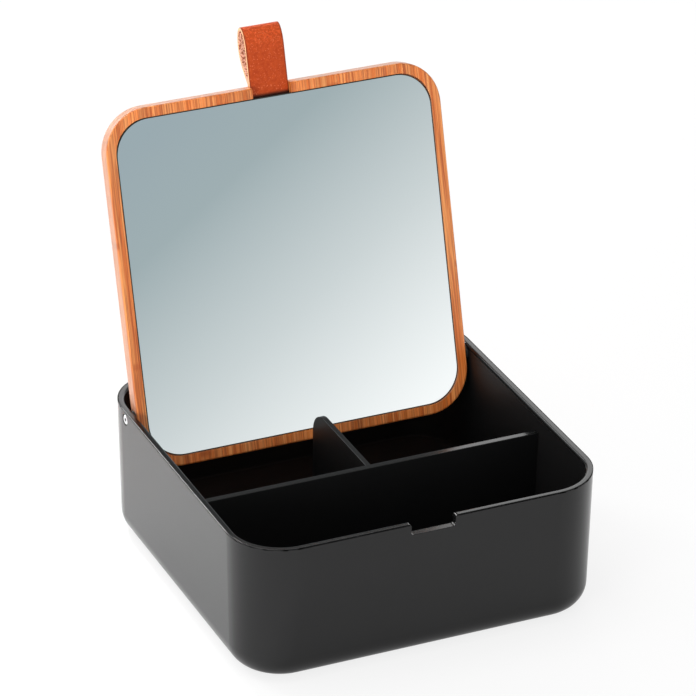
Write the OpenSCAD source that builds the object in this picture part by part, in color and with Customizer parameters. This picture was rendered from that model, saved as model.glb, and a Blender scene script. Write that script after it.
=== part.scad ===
// Square jewellery box with a pivoting bamboo mirror lid and a leather pull loop.
// The front faces -Y. The origin is the centre of the underside. The lid stands open.

/* [Box] */
// Width of the box across the rim
box_w = 180; // [150:1:220]
// Depth of the box across the rim, front to back
box_d = 180; // [150:1:220]
// Height of the box
box_h = 70; // [55:1:90]
// Radius of the upright corners at the rim
corner_r = 26; // [20:0.5:34]
// Wall thickness at the rim
wall = 3.4; // [2.6:0.1:4.4]
// Thickness of the floor
floor_t = 3; // [2:0.1:5]
// Radius of the edge between the walls and the underside
base_r = 11.5; // [6:0.5:14]
// Lean of the walls, in degrees: the box is narrower at its base
draft = 1.15; // [0.5:0.05:2]
// Rounding of the rim's outer edge
rim_out_r = 0.6; // [0.2:0.1:1.2]
// Rounding of the rim's inner edge
rim_in_r = 1.4; // [0.2:0.1:1.8]

/* [Dividers] */
// Thickness of the cross wall
divider_t = 3; // [2:0.1:5]
// Thickness of the rear wall
tail_t = 2.5; // [2:0.1:5]
// Depth of the front compartment at the rim
front_room = 65.4; // [40:0.2:80]
// Distance from the hinge axis to the free end of the rear wall
tail_back = 17; // [15:0.5:40]
// Rounding of the rear wall's free upper corner
tail_r = 12; // [2:0.5:18]
// Gap between the divider and the side walls
divider_gap = 0.25; // [0.1:0.05:0.6]
// Gap between the divider and the closed lid
lid_rest_gap = 0.4; // [0.3:0.05:1.5]

/* [Lid] */
// Thickness of the lid board
lid_t = 7.5; // [6.5:0.1:10]
// Gap at each side of the lid, at the rim
lid_side_gap = 1.3; // [1:0.05:2.5]
// Gap at the front and rear ends of the lid, at the rim
lid_end_gap = 0.6; // [0.5:0.05:2]
// How far the closed lid lies below the rim
lid_drop = 0.7; // [0.2:0.05:3]
// Distance from the lid's rear edge to the hinge axis
hinge_back = 26.6; // [20:0.2:40]
// Rounding of the board's edges
lid_edge_r = 1; // [0.3:0.1:2]
// Width of the wooden border round the mirror
border = 5; // [3:0.1:12]
// How far the lid stands open, in degrees
open_angle = 106; // [0:1:118]

/* [Mirror] */
// Thickness of the mirror glass
glass_t = 1.8; // [1.2:0.1:2]
// Depth of the glass below the face of the border
mirror_recess = 0.3; // [0.1:0.05:0.4]
// Thickness of the adhesive tape behind the glass
tape_t = 0.2; // [0.1:0.05:0.3]
// Gap between the glass and the border along the straight edges
mirror_gap = 0.3; // [0.2:0.05:1]
// How much rounder the corners of the glass are than its pocket
glass_ease = 1; // [0:0.1:2]
// Width of the ground edge of the glass
glass_arris = 0.3; // [0.1:0.05:0.5]
// Width of each strip of tape
tape_w = 30; // [10:1:50]
// Distance from the ends of the glass to the ends of the tape
tape_inset = 24; // [10:1:50]
// Distance from the sides of the glass to the strips of tape
tape_side = 22; // [10:1:30]

/* [Pull strap] */
// Width of the leather strap
strap_w = 19.4; // [12:0.1:28]
// Thickness of the leather
strap_t = 1.4; // [1:0.1:1.6]
// How far the loop reaches past the edge of the lid
loop_reach = 28; // [18:0.5:45]
// Depth of the loop over both faces of the leather
loop_depth = 10.2; // [6:0.2:14]
// Length of the loop's rounded end
loop_nose = 9.5; // [4:0.5:11]
// Length of the strap that is held behind the mirror
strap_held = 18; // [10:1:40]
// Gap between the two legs of the strap
leg_gap = 0.15; // [0.1:0.05:0.4]
// Wood left behind the strap
slot_back = 1.65; // [1:0.05:2.4]
// Gap at each side of the strap in its slot
slot_gap = 0.15; // [0.1:0.05:1]
// Corner radius of the slot's inner end
slot_r = 3; // [1:0.5:5]

/* [Front notch] */
// Gap at each side of the strap in the notch of the front wall
notch_gap = 1.3; // [0.5:0.1:4]
// Gap between the strap and the floor of the notch
notch_floor_gap = 0.3; // [0.3:0.05:1.5]
// Rounding of the notch's corners
notch_r = 1.2; // [0.4:0.1:2]

/* [Hinge] */
// Diameter of the screw head
head_d = 4.9; // [4.4:0.1:8]
// Thickness of the screw head
head_t = 1.2; // [0.8:0.1:1.6]
// Depth of the screw head below the outside of the wall
head_sink = 0.1; // [0:0.05:0.5]
// Gap round the screw head
head_gap = 0.45; // [0.1:0.05:0.6]
// Play between the screw head and the wall
head_play = 0.1; // [0.05:0.05:0.3]
// Width across the flats of the socket in the head
socket_af = 1.8; // [1.5:0.1:2.5]
// Depth of the socket
socket_depth = 0.8; // [0.4:0.1:0.8]
// Diameter of the smooth shoulder that the lid turns on
shoulder_d = 3.4; // [3:0.1:4]
// Radial running clearance of the shoulder in the wall
shoulder_clear = 0.05; // [0.02:0.01:0.1]
// Diameter of the part of the screw that is held in the wood
thread_d = 2.2; // [1.6:0.1:2.4]
// Length of the part of the screw that is held in the wood
thread_len = 10; // [6:0.5:20]
// Length of the screw's point
point_len = 2; // [1:0.1:4]
// Chamfer round the screw head
head_edge = 0.3; // [0.1:0.05:0.5]
// Radial clearance of the screw in the wood
thread_clear = 0.02; // [0.01:0.01:0.05]
// Outer diameter of the spacer washers
washer_d = 7; // [6:0.1:7.4]
// Play at each face of a spacer washer
washer_play = 0.1; // [0.05:0.05:0.3]

/* [Hidden] */
$fn = 96;

// Cuts run this far past the faces that they go through
over = 1;
// Rise of the walls' lean: sideways run for each unit of height
lean = tan(draft);

// Lid outline and the hinge axis
lid_w = box_w - 2 * (wall + lid_side_gap);
lid_l = box_d - 2 * (wall + lid_end_gap);
lid_corner_r = corner_r - wall - lid_side_gap;
pivot_y = box_d / 2 - wall - lid_end_gap - hinge_back;
pivot_z = box_h - lid_drop - lid_t / 2;
// In the closed lid's own frame the hinge axis is the origin and the front edge lies at -Y
lid_front = hinge_back - lid_l;
lid_mid = hinge_back - lid_l / 2;
lid_under = -lid_t / 2;

// Mirror and its pocket in the underside of the lid
pocket_w = lid_w - 2 * border;
pocket_l = lid_l - 2 * border;
pocket_r = lid_corner_r - border;
pocket_depth = mirror_recess + glass_t + tape_t;
glass_w = pocket_w - 2 * mirror_gap;
glass_l = pocket_l - 2 * mirror_gap;
glass_r = pocket_r - mirror_gap + glass_ease;
tape_x = glass_w / 2 - tape_side - tape_w / 2;

// Strap legs lie on the floor of the slot, behind the mirror, and end where its corners begin to curve
strap_face = lid_t - slot_back - 2 * strap_t - leg_gap;
slot_w = strap_w + 2 * slot_gap;
slot_l = border + strap_held + slot_r;
loop_rise = loop_depth - strap_t;
leg_pitch = strap_t + leg_gap;
nose_steps = 28;
leg_steps = 20;

// Notch in the front wall, below the strap of the closed lid
flare_steps = 5;
notch_w = strap_w + 2 * notch_gap;
notch_z = pivot_z + lid_under + strap_face - notch_floor_gap;

// Dividers end just below the closed lid
divider_top = pivot_z + lid_under - lid_rest_gap;
cross_y = wall + front_room + divider_t / 2 - box_d / 2;
tail_y = pivot_y - tail_back;

// Hinge stack at one side, outwards from the lid's edge
lid_side_x = lid_w / 2;
wall_in_x = box_w / 2 - wall - lean * (box_h - pivot_z);
wall_out_x = wall_in_x + wall;
head_out_x = wall_out_x - head_sink;
head_in_x = head_out_x - head_t;
seat_x = head_in_x - head_play;
// The washer spans the gap at the lowest point of its rim, where the leaning wall is nearest
washer_t = wall_in_x - lean * washer_d / 2 - lid_side_x - 2 * washer_play;

// Distance of a leaning wall face from the axis of the corner, at a height
function face_u(z, inset) = corner_r - inset - lean * (box_h - z);
// Centre of a circle of radius r that touches a leaning face from inside, at a height
function touch_u(z, inset, r) = face_u(z, inset) - r / cos(draft);
// Point where that circle touches the face
function touch_point(z, inset, r) = [touch_u(z, inset, r) + r * cos(draft), z - r * sin(draft)];

// Section of a tray's outline from the corner axis out to a leaning face, rounded at its lower edge
module tray_section(inset, low, high, r) {
    centre_z = low + r;
    centre_u = touch_u(centre_z, inset, r);
    polygon([
        [0, low],
        [centre_u, low],
        touch_point(centre_z, inset, r),
        [face_u(high, inset), high],
        [0, high]
    ]);
    translate([centre_u, centre_z]) intersection() {
        circle(r);
        translate([0, -r]) square(r);
    }
}

// Sharp edge of the rim outside a rounding circle; side is 1 on the outer face and -1 on the inner face
module rim_edge(inset, side, r) {
    centre_z = box_h - r;
    centre_u = face_u(centre_z, inset) - side * r / cos(draft);
    foot = [centre_u + side * r * cos(draft), centre_z - side * r * sin(draft)];
    difference() {
        polygon([[centre_u, centre_z], foot, [face_u(box_h, inset), box_h], [centre_u, box_h]]);
        translate([centre_u, centre_z]) circle(r);
    }
}

// Section of the shell: floor, rounded base edge, leaning wall and rounded rim
module shell_section() {
    difference() {
        tray_section(0, 0, box_h, base_r);
        tray_section(wall, floor_t, box_h + over, base_r - wall);
        rim_edge(0, 1, rim_out_r);
        rim_edge(wall, -1, rim_in_r);
    }
}

// Carries a section round a rounded rectangle: section x is measured from the axis of the corners
module swept_round(w, d, r) {
    for (turn = [0:90:270]) {
        sideways = turn % 180 == 0;
        side_x = turn == 0 || turn == 270 ? 1 : -1;
        side_y = turn < 180 ? 1 : -1;
        reach = (sideways ? w : d) / 2 - r;
        run = (sideways ? d : w) - 2 * r;
        translate([side_x * (w / 2 - r), side_y * (d / 2 - r), 0])
            rotate([0, 0, turn])
            rotate_extrude(angle = 90)
            children();
        rotate([0, 0, turn])
            translate([reach, run / 2, 0])
            rotate([90, 0, 0])
            linear_extrude(height = run)
            children();
    }
}

// Flat outline with rounded corners
module rounded_outline(w, d, r) {
    square([w - 2 * r, d], center = true);
    square([w, d - 2 * r], center = true);
    for (x = [-1, 1], y = [-1, 1])
        translate([x * (w / 2 - r), y * (d / 2 - r)]) circle(r);
}

// Plate with rounded corners whose upper and lower edges are rounded or chamfered by its section
module plate(w, d, r, t) {
    swept_round(w, d, r) children();
    translate([r - w / 2, r - d / 2, 0]) cube([w - 2 * r, d - 2 * r, t]);
}

// Half section of a board with rounded edges
module round_edge_section(r, t, edge_r) {
    square([r - edge_r, t]);
    translate([0, edge_r]) square([r, t - 2 * edge_r]);
    for (z = [edge_r, t - edge_r])
        translate([r - edge_r, z]) circle(edge_r);
}

// Half section of a glass plate with ground edges
module ground_edge_section(r, t, arris) {
    polygon([[0, 0], [r - arris, 0], [r, arris], [r, t - arris], [r - arris, t], [0, t]]);
}

// Outline of the notch: rounded lower corners, and upper corners that curve out into the rim
module notch_outline() {
    depth = box_h - notch_z;
    half = notch_w / 2;
    right = concat(
        [[half - notch_r, 0], [half, notch_r]],
        [for (i = [0:flare_steps]) let (a = 90 * i / flare_steps)
            [half + notch_r * (1 - cos(a)), depth - notch_r * (1 - sin(a))]],
        [[half + notch_r, depth + over]]
    );
    polygon(concat(right, [for (i = [len(right) - 1:-1:0]) [-right[i][0], right[i][1]]]));
    for (x = [-1, 1])
        translate([x * (half - notch_r), notch_r]) circle(notch_r);
}

// Turns a piece drawn along +Z so that it points towards the left (-1) or right (+1) wall on the hinge axis
module on_hinge(side) {
    rotate([0, side * 90, 0]) children();
}

// Moves the closed lid's frame to the hinge and opens it
module opened() {
    translate([0, pivot_y, pivot_z]) rotate([-open_angle, 0, 0]) children();
}

// Moulded box with a rounded base edge, a notch for the strap and the two hinge bores
module box_shell() {
    color([0.13, 0.13, 0.14])
    difference() {
        union() {
            swept_round(box_w, box_d, corner_r) shell_section();
            translate([corner_r - box_w / 2, corner_r - box_d / 2, 0])
                cube([box_w - 2 * corner_r, box_d - 2 * corner_r, floor_t]);
        }
        translate([0, wall + over - box_d / 2, notch_z])
            rotate([90, 0, 0])
            linear_extrude(height = wall + 2 * over)
            notch_outline();
        for (side = [-1, 1])
            translate([0, pivot_y, pivot_z]) on_hinge(side) {
                translate([0, 0, wall_in_x - over]) cylinder(r = shoulder_d / 2 + shoulder_clear, h = wall + 2 * over);
                translate([0, 0, seat_x]) cylinder(r = head_d / 2 + head_gap, h = wall_out_x - seat_x + over);
            }
    }
}

// Half outline of the cross wall, which follows the inside of the shell
module cross_half() {
    inset = wall + divider_gap;
    translate([box_w / 2 - corner_r, 0]) tray_section(inset, floor_t, divider_top, base_r - wall);
    translate([0, floor_t]) square([box_w / 2 - corner_r, divider_top - floor_t]);
}

// Side outline of the rear wall, with its free upper corner rounded
module tail_outline() {
    back = tail_y - cross_y;
    translate([0, floor_t]) square([back - tail_r, divider_top - floor_t]);
    translate([0, floor_t]) square([back, divider_top - floor_t - tail_r]);
    translate([back - tail_r, divider_top - tail_r]) circle(tail_r);
}

// T-shaped divider that stands on the floor of the box
module divider_insert() {
    color([0.15, 0.15, 0.16]) {
        translate([0, cross_y + divider_t / 2, 0]) rotate([90, 0, 0]) linear_extrude(height = divider_t) {
            cross_half();
            mirror([1, 0]) cross_half();
        }
        translate([-tail_t / 2, cross_y, 0])
            rotate([90, 0, 90])
            linear_extrude(height = tail_t)
            tail_outline();
    }
}

// Bamboo board with the mirror pocket, the strap slot and the screw holes
module lid_board() {
    color([0.84, 0.54, 0.33])
    opened() difference() {
        translate([0, lid_mid, lid_under])
            plate(lid_w, lid_l, lid_corner_r, lid_t) round_edge_section(lid_corner_r, lid_t, lid_edge_r);
        translate([0, lid_mid, lid_under - over])
            linear_extrude(height = pocket_depth + over)
            rounded_outline(pocket_w, pocket_l, pocket_r);
        translate([0, lid_front + (slot_l - slot_r - over) / 2, lid_under - over])
            linear_extrude(height = lid_t - slot_back + over)
            rounded_outline(slot_w, slot_l + slot_r + over, slot_r);
        for (side = [-1, 1])
            on_hinge(side) translate([0, 0, lid_side_x - thread_len])
                cylinder(r = thread_d / 2 + thread_clear, h = thread_len + over);
    }
}

// Mirror glass with ground edges, its face just below the wooden border
module mirror_glass() {
    color([0.80, 0.84, 0.85])
    opened() translate([0, lid_mid, lid_under + mirror_recess])
        plate(glass_w, glass_l, glass_r, glass_t) ground_edge_section(glass_r, glass_t, glass_arris);
}

// Strip of adhesive tape between the glass and the floor of its pocket
module mirror_tape(side) {
    color([0.93, 0.93, 0.90])
    opened() translate([side * tape_x, lid_mid, lid_under + mirror_recess + glass_t + tape_t / 2])
        cube([tape_w, glass_l - 2 * tape_inset, tape_t], center = true);
}

module mirror_tape_left() { mirror_tape(-1); }
module mirror_tape_right() { mirror_tape(1); }

// Middle line of the folded strap in the lid's side view: along the lid past its edge, and up from the lower leg.
// The rear leg swings out from a little past the edge of the lid.
nose_at = loop_reach - strap_t / 2 - loop_nose;
strap_line = concat(
    [[-border - strap_held, 0], [0, 0]],
    [for (i = [0:nose_steps]) let (a = 180 * i / nose_steps)
        [nose_at + loop_nose * sin(a), loop_rise * (1 - cos(a)) / 2]],
    [for (i = [1:leg_steps]) let (part = 1 - i / leg_steps)
        [strap_t + (nose_at - strap_t) * part, leg_pitch + (loop_rise - leg_pitch) * sin(90 * part)]],
    [[-border - strap_held, leg_pitch]]
);
// Unit direction of the line at a point, from its neighbours
function heading(line, i) =
    let (a = line[max(i - 1, 0)], b = line[min(i + 1, len(line) - 1)]) (b - a) / norm(b - a);
// Point of the line moved sideways by half the leather
function beside(line, i, by) = let (h = heading(line, i)) line[i] + by * [h[1], -h[0]];

// Folded leather strap: both ends held behind the mirror, the loop beyond the edge
module pull_strap() {
    last = len(strap_line) - 1;
    color([0.76, 0.33, 0.16])
    opened() translate([-strap_w / 2, lid_front, lid_under + strap_face + strap_t / 2])
        mirror([0, 1, 0])
        rotate([90, 0, 90])
        linear_extrude(height = strap_w)
        polygon(concat(
            [for (i = [0:last]) beside(strap_line, i, strap_t / 2)],
            [for (i = [last:-1:0]) beside(strap_line, i, -strap_t / 2)]
        ));
}

// Shoulder screw that carries the lid: head in the wall, smooth shoulder, pointed end in the wood
module hinge_screw(side) {
    color([0.78, 0.78, 0.80])
    opened() on_hinge(side) difference() {
        rotate_extrude() polygon([
            [0, lid_side_x - thread_len],
            [thread_d / 2, lid_side_x - thread_len + point_len],
            [thread_d / 2, lid_side_x],
            [shoulder_d / 2, lid_side_x],
            [shoulder_d / 2, head_in_x],
            [head_d / 2, head_in_x],
            [head_d / 2, head_out_x - head_edge],
            [head_d / 2 - head_edge, head_out_x],
            [0, head_out_x]
        ]);
        translate([0, 0, head_out_x - socket_depth])
            cylinder(d = socket_af / cos(30), h = socket_depth + over, $fn = 6);
    }
}

module hinge_screw_left() { hinge_screw(-1); }
module hinge_screw_right() { hinge_screw(1); }

// Washer that keeps the lid centred between the walls
module spacer_washer(side) {
    color([0.16, 0.16, 0.16])
    opened() on_hinge(side) translate([0, 0, lid_side_x + washer_play]) difference() {
        cylinder(d = washer_d, h = washer_t);
        translate([0, 0, -over]) cylinder(r = shoulder_d / 2 + shoulder_clear, h = washer_t + 2 * over);
    }
}

module spacer_washer_left() { spacer_washer(-1); }
module spacer_washer_right() { spacer_washer(1); }

box_shell();
divider_insert();
lid_board();
mirror_glass();
mirror_tape_left();
mirror_tape_right();
pull_strap();
hinge_screw_left();
hinge_screw_right();
spacer_washer_left();
spacer_washer_right();
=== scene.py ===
import bpy
import math
from mathutils import Matrix, Vector


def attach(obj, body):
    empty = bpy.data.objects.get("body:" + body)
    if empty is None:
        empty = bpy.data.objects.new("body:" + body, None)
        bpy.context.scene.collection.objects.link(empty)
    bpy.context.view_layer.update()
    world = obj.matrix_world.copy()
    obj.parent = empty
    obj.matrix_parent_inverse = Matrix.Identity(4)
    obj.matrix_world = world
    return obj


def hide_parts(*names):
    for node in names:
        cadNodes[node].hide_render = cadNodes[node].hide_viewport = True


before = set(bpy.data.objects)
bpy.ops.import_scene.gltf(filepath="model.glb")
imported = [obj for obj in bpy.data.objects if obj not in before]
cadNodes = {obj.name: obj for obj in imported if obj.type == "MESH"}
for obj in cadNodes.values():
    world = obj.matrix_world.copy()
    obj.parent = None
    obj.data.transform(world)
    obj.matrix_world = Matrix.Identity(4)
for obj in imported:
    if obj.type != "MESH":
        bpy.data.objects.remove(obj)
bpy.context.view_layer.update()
scene = bpy.context.scene
scene.view_settings.view_transform = "Standard"
print("frame loaded:", len(cadNodes), "nodes")

# the open lid leans back by this much; its own directions at rest
lidLean = math.radians(16)
lidUp = Vector((0, math.sin(lidLean), math.cos(lidLean)))
lidBack = Vector((0, math.cos(lidLean), -math.sin(lidLean)))
hingeAxis = Vector((0, 0.0594, 0.06555))

white = (1, 1, 1, 1)
noiseRange = (0.3, 0.7)  # where most of a noise lies


# one node with its settings and inputs; an output socket as a value makes a link
def addNode(tree, kind, settings=None, inputs=None):
    node = tree.nodes.new(kind)
    for key, value in (settings or {}).items():
        setattr(node, key, value)
    for key, value in (inputs or {}).items():
        if isinstance(value, bpy.types.NodeSocket):
            tree.links.new(value, node.inputs[key])
        else:
            node.inputs[key].default_value = value
    return node


def startFinish(name):
    finish = bpy.data.materials.new(name)
    finish.use_nodes = True
    tree = finish.node_tree
    return finish, tree, tree.nodes["Principled BSDF"]


def calc(tree, operation, first, second=0.0, third=0.0):
    node = addNode(tree, "ShaderNodeMath", {"operation": operation}, {0: first, 1: second, 2: third})
    return node.outputs[0]


def mixColours(tree, share, first, second, way="MIX"):
    settings = {"data_type": "RGBA", "blend_type": way}
    return addNode(tree, "ShaderNodeMix", settings, {0: share, 6: first, 7: second}).outputs[2]


def spread(tree, value, low, high, toLow=0.0, toHigh=1.0, smooth=False):
    settings = {"interpolation_type": "SMOOTHSTEP" if smooth else "LINEAR"}
    inputs = {"Value": value, "From Min": low, "From Max": high, "To Min": toLow, "To Max": toHigh}
    return addNode(tree, "ShaderNodeMapRange", settings, inputs).outputs[0]


def noise(tree, vector, scale, detail=2.0, roughness=0.5):
    inputs = {"Vector": vector, "Scale": scale, "Detail": detail, "Roughness": roughness}
    return addNode(tree, "ShaderNodeTexNoise", None, inputs).outputs["Fac"]


def objectPlace(tree):
    return addNode(tree, "ShaderNodeTexCoord").outputs["Object"]


def separate(tree, vector):
    return addNode(tree, "ShaderNodeSeparateXYZ", None, {0: vector}).outputs


def dot(tree, first, second):
    settings = {"operation": "DOT_PRODUCT"}
    return addNode(tree, "ShaderNodeVectorMath", settings, {0: first, 1: second}).outputs["Value"]


# how far the surface faces a direction in the piece's own frame
def facingOf(tree, direction):
    normal = addNode(tree, "ShaderNodeNewGeometry").outputs["Normal"]
    turned = {"vector_type": "NORMAL", "convert_from": "WORLD", "convert_to": "OBJECT"}
    local = addNode(tree, "ShaderNodeVectorTransform", turned, {0: normal}).outputs[0]
    return dot(tree, local, direction)


def bump(tree, height, depth, strength=1.0, under=None):
    inputs = {"Strength": strength, "Distance": depth, "Height": height}
    if under is not None:
        inputs["Normal"] = under
    return addNode(tree, "ShaderNodeBump", None, inputs).outputs[0]


# satin black moulding: fine spark-etched grain, faint flow clouds, duller walls and floor inside
# clouds and grain: scale, detail and roughness of the noise
boxPlastic = {
    "dark": (0.0028, 0.0028, 0.0030, 1),
    "pale": (0.0046, 0.0046, 0.0049, 1),
    "clouds": (26.0, 3.0),
    "grain": (2600.0, 2.0, 0.6),
    "grainDepth": 0.00002,
    "grainStrength": 0.6,
    "grainDull": 0.06,
    "easedEdge": 0.0005,
    "easedRays": 8,
    "roughness": (0.13, 0.17),
    "inward": (-0.070, -0.078),
    "uprightFacing": (0.15, 0.4),
    "wallsDull": 0.5,
    "floorFacing": (0.05, 0.2),
    "floorDull": 1.0,
    "dullUpTo": (0.012, 0.030),
    "ior": 1.42,
}
dividerPlastic = dict(boxPlastic, clouds=(34.0, 3.0), inward=(0.2, 0.1), wallsDull=0.48, ior=1.48)


def makePlastic(name, sizes):
    finish, tree, shader = startFinish(name)
    place = objectPlace(tree)
    clouds = noise(tree, place, *sizes["clouds"])
    grain = noise(tree, place, *sizes["grain"])
    tree.links.new(mixColours(tree, clouds, sizes["dark"], sizes["pale"]), shader.inputs["Base Color"])
    shine = spread(tree, clouds, *noiseRange, *sizes["roughness"])
    shine = calc(tree, "ADD", shine, calc(tree, "MULTIPLY", grain, sizes["grainDull"]))
    # an upright surface that looks towards the middle is an inside wall
    upward = facingOf(tree, (0, 0, 1))
    level = addNode(tree, "ShaderNodeVectorMath", {"operation": "MULTIPLY"}, {0: place, 1: (1, 1, 0)})
    inward = spread(tree, facingOf(tree, level.outputs[0]), *sizes["inward"])
    upright = spread(tree, upward, *sizes["uprightFacing"], sizes["wallsDull"], 0.0)
    walls = calc(tree, "MULTIPLY", inward, upright)
    # one that looks up, low down, is the floor
    low = spread(tree, dot(tree, place, (0, 0, 1)), *sizes["dullUpTo"], 1.0, 0.0, smooth=True)
    raised = spread(tree, upward, *sizes["floorFacing"], 0.0, sizes["floorDull"])
    dull = calc(tree, "MAXIMUM", walls, calc(tree, "MULTIPLY", low, raised))
    tree.links.new(calc(tree, "MAXIMUM", shine, dull), shader.inputs["Roughness"])
    # sharp edges are shaded as eased ones
    eased = addNode(tree, "ShaderNodeBevel", {"samples": sizes["easedRays"]}, {"Radius": sizes["easedEdge"]})
    normal = bump(tree, grain, sizes["grainDepth"], sizes["grainStrength"], eased.outputs[0])
    tree.links.new(normal, shader.inputs["Normal"])
    shader.inputs["IOR"].default_value = sizes["ior"]
    return finish


boxFinish = makePlastic("satinBlackPlastic", boxPlastic)
dividerFinish = makePlastic("satinBlackDivider", dividerPlastic)

# laminated bamboo: glued strips, long fibres, dark vessel streaks and a knuckle line in each strip
# broad, fine and streaks: stretch along the lid, then scale, detail and roughness of the noise
bambooSizes = {
    "pale": (0.92, 0.36, 0.105, 1),
    "middle": (0.74, 0.180, 0.026, 1),
    "deep": (0.42, 0.075, 0.008, 1),
    "streak": (0.34, 0.056, 0.009, 1),
    # painted sheen on the lid's outer edges
    "edgeSheen": (0.425, 0.255, 0.185, 1),
    "stripWidth": 0.0056,
    "stripShift": 3.7,
    "stripShade": (0.84, 1.10),
    "broad": (0.03, 480.0, 2.0, 0.5),
    "broadRange": (0.38, 0.62),
    "fine": (0.016, 1500.0, 3.0, 0.6),
    "fineRange": (0.44, 0.66),
    "fineShare": 0.85,
    "streaks": (0.03, 1150.0, 1.0, 0.5),
    "streakRange": (0.55, 0.64),
    "streakShare": 0.5,
    "glueLine": 0.025,
    "glueShare": 0.45,
    "knucklePitch": 0.23,
    "knuckleRange": (0.002, 0.011),
    "knuckleShare": 0.6,
    "notchHalf": 0.013,
    "edgeSheenFacing": (0.25, 0.85),
    "edgeSheenShare": 0.7,
    "fineRelief": -0.6,
    "fibreDepth": 0.00005,
    "fibreStrength": 0.5,
    "roughness": (0.34, 0.50),
    "specular": 0.4,
    "coat": 0.3,
    "coatRoughness": 0.28,
}


def makeBamboo(sizes):
    finish, tree, shader = startFinish("laminatedBamboo")
    turned = {"Vector": objectPlace(tree), "Rotation": (lidLean, 0, 0)}
    parts = separate(tree, addNode(tree, "ShaderNodeMapping", None, turned).outputs[0])
    across, through, along = parts[0], parts[1], parts[2]
    strips = calc(tree, "DIVIDE", across, sizes["stripWidth"])
    number = calc(tree, "FLOOR", strips)
    drawing = addNode(tree, "ShaderNodeTexWhiteNoise", {"noise_dimensions": "1D"}, {"W": number})
    chance = drawing.outputs["Value"]
    shifted = calc(tree, "MULTIPLY_ADD", chance, sizes["stripShift"], along)

    # fibres run up the lid: the pattern is drawn out along that direction
    def fibres(stretch, scale, detail, roughness):
        drawn = calc(tree, "MULTIPLY", shifted, stretch)
        vector = addNode(tree, "ShaderNodeCombineXYZ", None, {0: across, 1: through, 2: drawn}).outputs[0]
        return noise(tree, vector, scale, detail, roughness)

    broad = fibres(*sizes["broad"])
    fine = fibres(*sizes["fine"])
    streaks = spread(tree, fibres(*sizes["streaks"]), *sizes["streakRange"], smooth=True)
    tint = mixColours(tree, spread(tree, broad, *sizes["broadRange"]), sizes["pale"], sizes["middle"])
    fineShare = spread(tree, fine, *sizes["fineRange"], 0.0, sizes["fineShare"])
    tint = mixColours(tree, fineShare, tint, sizes["deep"])
    tint = mixColours(tree, calc(tree, "MULTIPLY", streaks, sizes["streakShare"]), tint, sizes["streak"])
    shade = spread(tree, chance, 0.0, 1.0, *sizes["stripShade"])
    grey = addNode(tree, "ShaderNodeCombineColor", None, {0: shade, 1: shade, 2: shade}).outputs[0]
    tint = mixColours(tree, 1.0, tint, grey, "MULTIPLY")
    # thin glue lines between the strips
    edge = calc(tree, "ABSOLUTE", calc(tree, "SUBTRACT", calc(tree, "FRACT", strips), 0.5))
    glue = spread(tree, edge, 0.5 - sizes["glueLine"], 0.5, 0.0, sizes["glueShare"], smooth=True)
    tint = mixColours(tree, glue, tint, sizes["deep"])
    # one knuckle in each strip, at its own height
    step = calc(tree, "ADD", calc(tree, "DIVIDE", along, sizes["knucklePitch"]), chance)
    apart = calc(tree, "ABSOLUTE", calc(tree, "SUBTRACT", calc(tree, "FRACT", step), 0.5))
    knuckle = spread(tree, apart, *sizes["knuckleRange"], sizes["knuckleShare"], 0.0, smooth=True)
    tint = mixColours(tree, knuckle, tint, sizes["deep"])
    # painted sheen: the outer edges are tinted paler than the faces and the strap's notch, for the light
    # they catch
    facing = calc(tree, "ABSOLUTE", facingOf(tree, tuple(lidBack)))
    outer = calc(tree, "GREATER_THAN", calc(tree, "ABSOLUTE", across), sizes["notchHalf"])
    sheenOn = spread(tree, facing, *sizes["edgeSheenFacing"], sizes["edgeSheenShare"], 0.0, smooth=True)
    tint = mixColours(tree, calc(tree, "MULTIPLY", outer, sheenOn), tint, sizes["edgeSheen"])
    tree.links.new(tint, shader.inputs["Base Color"])
    tree.links.new(spread(tree, fine, *noiseRange, *sizes["roughness"]), shader.inputs["Roughness"])
    relief = calc(tree, "MULTIPLY", fine, sizes["fineRelief"])
    relief = calc(tree, "SUBTRACT", relief, calc(tree, "ADD", streaks, glue))
    normal = bump(tree, relief, sizes["fibreDepth"], sizes["fibreStrength"])
    tree.links.new(normal, shader.inputs["Normal"])
    shader.inputs["Specular IOR Level"].default_value = sizes["specular"]
    shader.inputs["Coat Weight"].default_value = sizes["coat"]
    shader.inputs["Coat Roughness"].default_value = sizes["coatRoughness"]
    return finish


bambooFinish = makeBamboo(bambooSizes)

# silvered glass: clean mirror on the face, greenish ground edge round it, darkened as painted shade of the
# gap in its pocket
mirrorSizes = {
    "silver": (0.92, 0.955, 0.955, 1),
    "flatFacing": (0.95, 0.98),
    "lean": (-5.5, 0, -8.0),  # degrees, so that the glass shows the grey card
    # edge: ground glass tone, darkened as painted shade of the gap round the glass
    "edge": (0.030, 0.045, 0.043, 1),
    "edgeGround": (900.0, 3.0),
    "edgeRoughness": 0.35,
    "edgeDepth": 0.00003,
    "edgeStrength": 0.4,
}


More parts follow.
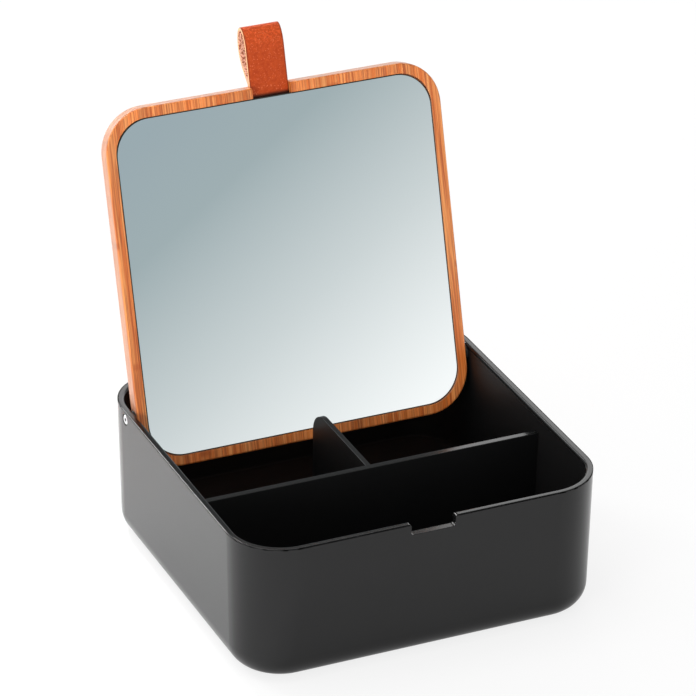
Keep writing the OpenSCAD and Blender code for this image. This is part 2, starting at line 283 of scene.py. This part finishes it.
def makeMirror(sizes):
    finish, tree, shader = startFinish("silveredGlass")
    facing = calc(tree, "ABSOLUTE", facingOf(tree, tuple(lidBack)))
    flat = spread(tree, facing, *sizes["flatFacing"])
    tree.links.new(mixColours(tree, flat, sizes["edge"], sizes["silver"]), shader.inputs["Base Color"])
    tree.links.new(flat, shader.inputs["Metallic"])
    tree.links.new(spread(tree, flat, 0.0, 1.0, sizes["edgeRoughness"], 0.0), shader.inputs["Roughness"])
    ground = noise(tree, objectPlace(tree), *sizes["edgeGround"])
    relief = calc(tree, "MULTIPLY", ground, calc(tree, "SUBTRACT", 1.0, flat))
    normal = addNode(tree, "ShaderNodeNewGeometry").outputs["True Normal"]
    lean = tuple(math.radians(a) for a in sizes["lean"])
    leant = addNode(tree, "ShaderNodeVectorRotate", {"rotation_type": "EULER_XYZ"},
                    {"Vector": normal, "Rotation": lean}).outputs[0]
    normal = bump(tree, relief, sizes["edgeDepth"], sizes["edgeStrength"], leant)
    tree.links.new(normal, shader.inputs["Normal"])
    return finish


mirrorFinish = makeMirror(mirrorSizes)

# turned steel: fine rings round the hinge axis
steelSizes = {
    "pale": (0.94, 0.94, 0.94, 1),
    "dark": (0.80, 0.80, 0.81, 1),
    # painted shade inside the hex socket
    "socket": (0.020, 0.020, 0.021, 1),
    "socketRadius": 0.00108,
    "socketFrom": 0.00006,
    "headFace": 0.08981,
    "ringScale": 5200.0,
    "ringDetail": 2.0,
    "ringDepth": 0.00001,
    "ringStrength": 0.4,
    "roughness": (0.22, 0.34),
}


def makeSteel(sizes):
    finish, tree, shader = startFinish("turnedSteel")
    centred = {"Vector": objectPlace(tree), "Location": tuple(-hingeAxis)}
    parts = separate(tree, addNode(tree, "ShaderNodeMapping", None, centred).outputs[0])
    flat = addNode(tree, "ShaderNodeCombineXYZ", None, {1: parts[1], 2: parts[2]}).outputs[0]
    radius = addNode(tree, "ShaderNodeVectorMath", {"operation": "LENGTH"}, {0: flat}).outputs["Value"]
    ringInputs = {"W": radius, "Scale": sizes["ringScale"], "Detail": sizes["ringDetail"]}
    rings = addNode(tree, "ShaderNodeTexNoise", {"noise_dimensions": "1D"}, ringInputs).outputs["Fac"]
    # painted shade inside the socket
    socketFace = sizes["headFace"] - sizes["socketFrom"]
    sunk = calc(tree, "LESS_THAN", calc(tree, "ABSOLUTE", parts[0]), socketFace)
    socket = calc(tree, "MULTIPLY", sunk, calc(tree, "LESS_THAN", radius, sizes["socketRadius"]))
    bright = mixColours(tree, rings, sizes["dark"], sizes["pale"])
    tree.links.new(mixColours(tree, socket, bright, sizes["socket"]), shader.inputs["Base Color"])
    tree.links.new(spread(tree, rings, *noiseRange, *sizes["roughness"]), shader.inputs["Roughness"])
    tree.links.new(bump(tree, rings, sizes["ringDepth"], sizes["ringStrength"]), shader.inputs["Normal"])
    shader.inputs["Metallic"].default_value = 1.0
    return finish


steelFinish = makeSteel(steelSizes)

# plain small finishes that still vary: nylon washers and double-sided tape
nylonSizes = {
    "dark": (0.010, 0.010, 0.011, 1),
    "pale": (0.020, 0.020, 0.021, 1),
    "patches": (700.0, 3.0),
    "roughness": (0.44, 0.56),
    "depth": 0.00002,
    "strength": 0.5,
}
tapeSizes = {
    "dark": (0.76, 0.76, 0.72, 1),
    "pale": (0.86, 0.86, 0.83, 1),
    "patches": (1100.0, 3.0),
    "roughness": (0.64, 0.76),
    "depth": 0.00005,
    "strength": 0.5,
}


def makeMottled(name, sizes):
    finish, tree, shader = startFinish(name)
    patches = noise(tree, objectPlace(tree), *sizes["patches"])
    tree.links.new(mixColours(tree, patches, sizes["dark"], sizes["pale"]), shader.inputs["Base Color"])
    tree.links.new(spread(tree, patches, *noiseRange, *sizes["roughness"]), shader.inputs["Roughness"])
    tree.links.new(bump(tree, patches, sizes["depth"], sizes["strength"]), shader.inputs["Normal"])
    return finish


nylonFinish = makeMottled("nylonWasher", nylonSizes)
tapeFinish = makeMottled("mirrorTape", tapeSizes)

finishOf = {
    "box_shell": boxFinish,
    "divider_insert": dividerFinish,
    "lid_board": bambooFinish,
    "mirror_glass": mirrorFinish,
    "mirror_tape_left": tapeFinish,
    "mirror_tape_right": tapeFinish,
    "hinge_screw_left": steelFinish,
    "hinge_screw_right": steelFinish,
    "spacer_washer_left": nylonFinish,
    "spacer_washer_right": nylonFinish,
}
for nodeName, finish in finishOf.items():
    cadNodes[nodeName].data.materials[0] = finish
cadNodes["divider_insert"].visible_glossy = False  # kept out of the mirror
print("finishes set on", len(finishOf), "nodes")

# leather: burnt orange grain outside, pale napped flesh side inside, raw cut edges
# mottle, pores, specks, wear and flecks: scale, detail and roughness of the noise
# bend and slotMouth: heights above the hinge axis
leatherSizes = {
    "grainPale": (0.52, 0.068, 0.0085, 1),
    "grainDeep": (0.43, 0.046, 0.0055, 1),
    "worn": (0.74, 0.108, 0.022, 1),
    # painted shade along the strap's rounded edges
    "edgeShade": (0.12, 0.016, 0.004, 1),
    "speck": (0.74, 0.19, 0.07, 1),
    "flesh": (0.88, 0.52, 0.38, 1),
    "fleshFleck": (0.33, 0.088, 0.042, 1),
    "cut": (0.82, 0.50, 0.28, 1),
    "cutDeep": (0.60, 0.27, 0.12, 1),
    # painted shadow where the strap goes in under the glass edge
    "slotShadow": (0.010, 0.004, 0.002, 1),
    "mottle": (620.0, 3.0, 0.6),
    "mottleRange": (0.35, 0.65),
    "pores": (2300.0, 2.0, 0.6),
    "poreRange": (0.4, 0.7),
    "poreRelief": 0.4,
    "pebble": 1500.0,
    "creaseRange": (0.0, 0.16),
    "creaseShare": 0.25,
    "creaseRelief": -0.5,
    "specks": (1700.0, 1.0),
    "speckRange": (0.63, 0.70),
    "speckShare": 0.7,
    "wear": (900.0, 2.0, 0.7),
    "wearRange": (0.46, 0.60),
    "wearShare": 0.6,
    "bend": (0.158, 0.170),
    "margin": (0.0085, 0.0096),
    "edgeShadeShare": 0.6,
    "flecks": (1100.0, 2.0, 0.6),
    "fleckRange": (0.47, 0.58),
    "fleckRelief": 0.9,
    "cutRange": (0.72, 0.94),
    "slotMouth": (0.1404, 0.1424),
    "slotShadowShare": 0.95,
    "roughness": (0.46, 0.58),
    "napRoughness": 0.9,
    "depth": 0.00009,
    "strength": 0.6,
    "specular": 0.2,
}


def makeLeather(sizes):
    finish, tree, shader = startFinish("burntOrangeLeather")
    place = objectPlace(tree)
    side = addNode(tree, "ShaderNodeAttribute", {"attribute_name": "side"}).outputs["Fac"]
    inside = calc(tree, "GREATER_THAN", side, 0.0)
    cut = spread(tree, calc(tree, "ABSOLUTE", side), *sizes["cutRange"], 1.0, 0.0, smooth=True)
    mottle = noise(tree, place, *sizes["mottle"])
    pores = noise(tree, place, *sizes["pores"])
    cells = addNode(tree, "ShaderNodeTexVoronoi", {"feature": "DISTANCE_TO_EDGE"},
                    {"Vector": place, "Scale": sizes["pebble"]}).outputs["Distance"]
    creases = spread(tree, cells, *sizes["creaseRange"], 1.0, 0.0, smooth=True)
    mottled = spread(tree, mottle, *sizes["mottleRange"])
    grain = mixColours(tree, mottled, sizes["grainPale"], sizes["grainDeep"])
    creased = calc(tree, "MULTIPLY", creases, sizes["creaseShare"])
    grain = mixColours(tree, creased, grain, sizes["grainDeep"])
    specks = noise(tree, place, *sizes["specks"])
    specks = spread(tree, specks, *sizes["speckRange"], 0.0, sizes["speckShare"], smooth=True)
    grain = mixColours(tree, specks, grain, sizes["speck"])
    # coarser and paler over the bend, with painted shade along both edges
    above = calc(tree, "SUBTRACT", dot(tree, place, tuple(lidUp)), hingeAxis.dot(lidUp))
    worn = noise(tree, place, *sizes["wear"])
    worn = spread(tree, worn, *sizes["wearRange"], 0.0, sizes["wearShare"], smooth=True)
    worn = calc(tree, "MULTIPLY", worn, spread(tree, above, *sizes["bend"], smooth=True))
    grain = mixColours(tree, worn, grain, sizes["worn"])
    off = calc(tree, "ABSOLUTE", dot(tree, place, (1, 0, 0)))
    edgeShade = spread(tree, off, *sizes["margin"], 0.0, sizes["edgeShadeShare"], smooth=True)
    grain = mixColours(tree, edgeShade, grain, sizes["edgeShade"])
    flecks = spread(tree, noise(tree, place, *sizes["flecks"]), *sizes["fleckRange"], smooth=True)
    flesh = mixColours(tree, flecks, sizes["flesh"], sizes["fleshFleck"])
    raw = mixColours(tree, spread(tree, pores, *sizes["poreRange"]), sizes["cut"], sizes["cutDeep"])
    tint = mixColours(tree, cut, mixColours(tree, inside, grain, flesh), raw)
    # painted shadow at the slot, where the glass edge shades the strap
    slotShade = spread(tree, above, *sizes["slotMouth"], sizes["slotShadowShare"], 0.0, smooth=True)
    tint = mixColours(tree, slotShade, tint, sizes["slotShadow"])
    tree.links.new(tint, shader.inputs["Base Color"])
    napped = calc(tree, "MAXIMUM", inside, cut)
    rough = spread(tree, mottle, *noiseRange, *sizes["roughness"])
    rough = calc(tree, "MAXIMUM", rough, calc(tree, "MULTIPLY", napped, sizes["napRoughness"]))
    tree.links.new(rough, shader.inputs["Roughness"])
    poreRelief = calc(tree, "MULTIPLY", pores, sizes["poreRelief"])
    relief = calc(tree, "MULTIPLY_ADD", creases, sizes["creaseRelief"], poreRelief)
    fleckRelief = calc(tree, "MULTIPLY", flecks, sizes["fleckRelief"])
    relief = calc(tree, "ADD", relief, calc(tree, "MULTIPLY", napped, fleckRelief))
    tree.links.new(bump(tree, relief, sizes["depth"], sizes["strength"]), shader.inputs["Normal"])
    shader.inputs["Specular IOR Level"].default_value = sizes["specular"]
    return finish


leatherFinish = makeLeather(leatherSizes)

# pull loop: one strap, folded, both ends held in the slot behind the mirror
pullLoop = {
    "width": 0.0194,
    "thickness": 0.0014,
    "edgeRound": 0.0003,
    "edgeSteps": 4,
    "faceCuts": 5,
    "reach": 0.028,          # past the edge of the lid
    "depth": 0.0102,         # over both faces of the leather
    "nose": 0.0095,
    "held": 0.023,
    "legPitch": 0.00155,
    "edgeAt": 0.1454,        # lid edge above the hinge axis
    "frontLegAt": -0.00015,  # middle of the front leg behind the hinge axis
    "steps": (12, 16, 48, 32),  # held end, front leg, nose, back leg
}


def loopLine(sizes):
    rise = sizes["depth"] - sizes["thickness"]
    noseAt = sizes["reach"] - sizes["thickness"] / 2 - sizes["nose"]
    pitch = sizes["legPitch"]
    heldSteps, frontSteps, noseSteps, backSteps = sizes["steps"]
    line = [(-sizes["held"] * (1 - i / heldSteps), 0.0) for i in range(heldSteps)]
    line += [(noseAt * i / frontSteps, 0.0) for i in range(frontSteps)]
    for i in range(noseSteps + 1):
        turn = math.pi * i / noseSteps
        line.append((noseAt + sizes["nose"] * math.sin(turn), rise * (1 - math.cos(turn)) / 2))
    for i in range(1, backSteps + 1):
        part = 1 - i / backSteps
        out = sizes["thickness"] + (noseAt - sizes["thickness"]) * part
        line.append((out, pitch + (rise - pitch) * math.sin(math.pi / 2 * part)))
    line += [(-sizes["held"] * i / heldSteps, pitch) for i in range(1, heldSteps + 1)]
    start = hingeAxis + lidUp * sizes["edgeAt"] + lidBack * sizes["frontLegAt"]
    return [start + lidUp * a + lidBack * b for a, b in line]


# strap tree: a rounded flat section carried along the line
def strapTree(sizes):
    tree = bpy.data.node_groups.new("strapAlongLine", "GeometryNodeTree")
    face = tree.interface
    face.new_socket("Line", in_out="INPUT", socket_type="NodeSocketGeometry")
    for name in ("Width", "Thickness", "Edge Round"):
        face.new_socket(name, in_out="INPUT", socket_type="NodeSocketFloat")
    face.new_socket("Finish", in_out="INPUT", socket_type="NodeSocketMaterial")
    face.new_socket("Strap", in_out="OUTPUT", socket_type="NodeSocketGeometry")
    given = addNode(tree, "NodeGroupInput").outputs
    outline = addNode(tree, "GeometryNodeCurvePrimitiveQuadrilateral", None,
                      {"Width": given["Width"], "Height": given["Thickness"]}).outputs[0]
    corners = {"Curve": outline, "Count": sizes["edgeSteps"], "Radius": given["Edge Round"]}
    rounded = addNode(tree, "GeometryNodeFilletCurve", {"mode": "POLY"}, corners).outputs[0]
    section = addNode(tree, "GeometryNodeSubdivideCurve", None,
                      {"Curve": rounded, "Cuts": sizes["faceCuts"]}).outputs[0]
    # side: -1 on the grain face, 1 on the flesh face
    depth = separate(tree, addNode(tree, "GeometryNodeInputPosition").outputs[0])[1]
    side = calc(tree, "DIVIDE", depth, calc(tree, "DIVIDE", given["Thickness"], 2.0))
    marked = addNode(tree, "GeometryNodeStoreNamedAttribute", {"data_type": "FLOAT", "domain": "POINT"},
                     {"Geometry": section, "Name": "side", "Value": side}).outputs[0]
    line = addNode(tree, "GeometryNodeMeshToCurve", None, {"Mesh": given["Line"]}).outputs[0]
    swept = addNode(tree, "GeometryNodeCurveToMesh", None,
                    {"Curve": line, "Profile Curve": marked, "Fill Caps": True}).outputs[0]
    smooth = addNode(tree, "GeometryNodeSetShadeSmooth", None, {"Geometry": swept}).outputs[0]
    real = addNode(tree, "GeometryNodeRealizeInstances", None, {"Geometry": smooth}).outputs[0]
    done = addNode(tree, "GeometryNodeSetMaterial", None,
                   {"Geometry": real, "Material": given["Finish"]}).outputs[0]
    addNode(tree, "NodeGroupOutput", None, {"Strap": done})
    return tree


def socketOf(tree, name):
    return next(s.identifier for s in tree.interface.items_tree if s.name == name and s.in_out == "INPUT")


# the evaluated result as a plain mesh object
def plainPiece(source, name):
    graph = bpy.context.evaluated_depsgraph_get()
    solved = source.evaluated_get(graph)
    mesh = bpy.data.meshes.new_from_object(solved, preserve_all_data_layers=True, depsgraph=graph)
    mesh.name = name
    piece = bpy.data.objects.new(name, mesh)
    scene.collection.objects.link(piece)
    bpy.data.objects.remove(source)
    return piece


def makePullLoop(sizes):
    line = loopLine(sizes)
    guide = bpy.data.meshes.new("pullLoopLine")
    guide.from_pydata(line, [(i, i + 1) for i in range(len(line) - 1)], [])
    host = bpy.data.objects.new("pullLoopLine", guide)
    scene.collection.objects.link(host)
    tree = strapTree(sizes)
    modifier = host.modifiers.new("strap", "NODES")
    modifier.node_group = tree
    modifier[socketOf(tree, "Width")] = sizes["width"]
    modifier[socketOf(tree, "Thickness")] = sizes["thickness"]
    modifier[socketOf(tree, "Edge Round")] = sizes["edgeRound"]
    modifier[socketOf(tree, "Finish")] = leatherFinish
    return plainPiece(host, "pullLoop")


pullLoopPiece = makePullLoop(pullLoop)
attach(pullLoopPiece, "lid")
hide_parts("pull_strap")
print("pull loop:", len(pullLoopPiece.data.polygons), "faces")


# one flat sheet of the stage
def addSheet(name, corners, finish):
    mesh = bpy.data.meshes.new(name)
    mesh.from_pydata(corners, [], [(0, 1, 2, 3)])
    mesh.materials.append(finish)
    sheet = bpy.data.objects.new(name, mesh)
    scene.collection.objects.link(sheet)
    return sheet


# pale sweep of floor
floorSizes = {
    "half": 6.0,
    "tone": (0.88, 0.88, 0.88, 1),
    "roughness": 0.9,
    "specular": 0.0,
    "glow": 0.80,
    "shine": 0.25,
}


def makeFloor(sizes):
    finish, tree, shader = startFinish("paleFloor")
    shader.inputs["Base Color"].default_value = sizes["tone"]
    shader.inputs["Roughness"].default_value = sizes["roughness"]
    shader.inputs["Specular IOR Level"].default_value = sizes["specular"]
    ray = addNode(tree, "ShaderNodeLightPath").outputs
    bounced = calc(tree, "MAXIMUM", ray["Is Glossy Ray"], ray["Is Transmission Ray"])
    share = calc(tree, "MULTIPLY", ray["Is Camera Ray"], sizes["glow"])
    share = calc(tree, "MAXIMUM", share, calc(tree, "MULTIPLY", bounced, sizes["shine"]))
    glow = addNode(tree, "ShaderNodeEmission", None, {"Color": white, "Strength": 1.0}).outputs[0]
    mixed = addNode(tree, "ShaderNodeMixShader", None, {0: share, 1: shader.outputs[0], 2: glow})
    tree.links.new(mixed.outputs[0], tree.nodes["Material Output"].inputs["Surface"])
    reach = sizes["half"]
    corners = [(-reach, -reach, 0), (reach, -reach, 0), (reach, reach, 0), (-reach, reach, 0)]
    floor = addSheet("floor", corners, finish)


makeFloor(floorSizes)

# grey card out in front, which the mirror shows
cardSizes = {
    "middle": (0.34, -3.0, 0.964),
    "half": 1.4,
    "tilt": 1.461,
    "slope": (-0.418, 0.427),
    "darkEnd": (0.353, 0.424, 0.458, 1),
    "paleEnd": white,
    "between": {0.23: (0.377, 0.446, 0.467, 1), 0.60: (0.65, 0.69, 0.70, 1)},
}


def makeCard(sizes):
    finish, tree, shader = startFinish("greyCard")
    parts = separate(tree, objectPlace(tree))
    slope = calc(tree, "SUBTRACT", parts[0], calc(tree, "MULTIPLY", parts[2], sizes["tilt"]))
    ramp = addNode(tree, "ShaderNodeValToRGB", None, {"Fac": spread(tree, slope, *sizes["slope"])})
    stops = ramp.color_ramp.elements
    stops[0].color = sizes["darkEnd"]
    stops[1].color = sizes["paleEnd"]
    for stop, colour in sizes["between"].items():
        stops.new(stop).color = colour
    glow = addNode(tree, "ShaderNodeEmission", None, {"Color": ramp.outputs["Color"], "Strength": 1.0})
    tree.links.new(glow.outputs[0], tree.nodes["Material Output"].inputs["Surface"])
    tree.nodes.remove(shader)
    reach = sizes["half"]
    corners = [(reach, 0, -reach), (-reach, 0, -reach), (-reach, 0, reach), (reach, 0, reach)]
    card = addSheet("mirrorCard", corners, finish)
    card.location = sizes["middle"]
    card.visible_camera = False
    card.visible_diffuse = False
    card.visible_shadow = False


makeCard(cardSizes)

# soft studio light: a wash on the floor at the left, a low key at the left, a box above,
# two behind and a weak fill in front
lampSizes = {
    "leftWash": {
        "at": (-0.14, 0.70, 0.95), "aim": (-0.14, 0.09, 0), "size": (0.1, 0.1), "power": 0.18, "spread": 26,
    },
    "leftKey": {
        "at": (-1.5, -0.95, 0.42), "aim": (0, 0, 0.09), "size": (0.8, 0.5), "power": 17.0, "gloss": False,
    },
    "topBox": {
        "at": (-0.5, 0.15, 1.6), "aim": (0, 0, 0.09), "size": (0.9, 0.9), "power": 8.0,
    },
    "backBox": {
        "at": (1.15, 1.45, 1.0), "aim": (1.15, 0, 1.0), "size": (1.8, 1.0), "power": 11.3,
    },
    "backStrip": {
        "at": (-0.84, 1.5, 0.86), "aim": (-0.84, 0, 0.86), "size": (0.5, 0.5), "power": 20.0,
    },
    "frontFill": {
        "at": (-0.5, -2.0, 1.5), "aim": (0, 0, 0.09), "size": (1.2, 1.2), "power": 3.0,
    },
}


def makeLamp(name, sizes):
    light = bpy.data.lights.new(name, "AREA")
    light.shape = "RECTANGLE"
    light.size, light.size_y = sizes["size"]
    light.energy = sizes["power"]
    light.spread = math.radians(sizes.get("spread", 180))
    lamp = bpy.data.objects.new(name, light)
    lamp.location = sizes["at"]
    lamp.rotation_euler = (Vector(sizes["aim"]) - lamp.location).to_track_quat("-Z", "Y").to_euler()
    lamp.visible_camera = False
    lamp.visible_glossy = sizes.get("gloss", True)
    scene.collection.objects.link(lamp)


for lampName, sizes in lampSizes.items():
    makeLamp(lampName, sizes)

# white near the horizon, darker towards the ceiling where only the gloss sees it
roomSizes = {"ambient": 0.62, "ceiling": 0.31, "ceilingRange": (0.08, 0.5)}


def makeRoom(sizes):
    room = bpy.data.worlds.new("whiteRoom")
    scene.world = room
    room.use_nodes = True
    tree = room.node_tree
    back = tree.nodes["Background"]
    back.inputs["Color"].default_value = white
    ray = addNode(tree, "ShaderNodeLightPath").outputs
    bounced = calc(tree, "MAXIMUM", ray["Is Glossy Ray"], ray["Is Transmission Ray"])
    seen = calc(tree, "MAXIMUM", ray["Is Camera Ray"], bounced)
    height = separate(tree, objectPlace(tree))[2]
    ceiling = spread(tree, height, *sizes["ceilingRange"], 1.0, sizes["ceiling"], smooth=True)
    level = calc(tree, "MAXIMUM", ray["Is Camera Ray"], calc(tree, "MULTIPLY", seen, ceiling))
    level = calc(tree, "ADD", level, spread(tree, seen, 0.0, 1.0, sizes["ambient"], 0.0))
    tree.links.new(level, back.inputs["Strength"])


makeRoom(roomSizes)
print("stage and light set")

# camera at the photograph's angle
shot = {
    "at": (-0.75453, -1.66623, 1.06799),
    "right": (0.91343, -0.40689, 0.00933),
    "up": (0.18068, 0.42593, 0.88653),
    "lens": 231.94,
    "sensor": 36.0,
    "clip": (0.05, 60.0),
}
lens = bpy.data.cameras.new("shot")
lens.sensor_width = shot["sensor"]
lens.lens = shot["lens"]
lens.clip_start, lens.clip_end = shot["clip"]
camera = bpy.data.objects.new("shot", lens)
sideways, upwards = Vector(shot["right"]).normalized(), Vector(shot["up"]).normalized()
turn = Matrix((sideways, upwards, sideways.cross(upwards))).transposed()
camera.matrix_world = Matrix.Translation(Vector(shot["at"])) @ turn.to_4x4()
scene.collection.objects.link(camera)
scene.camera = camera
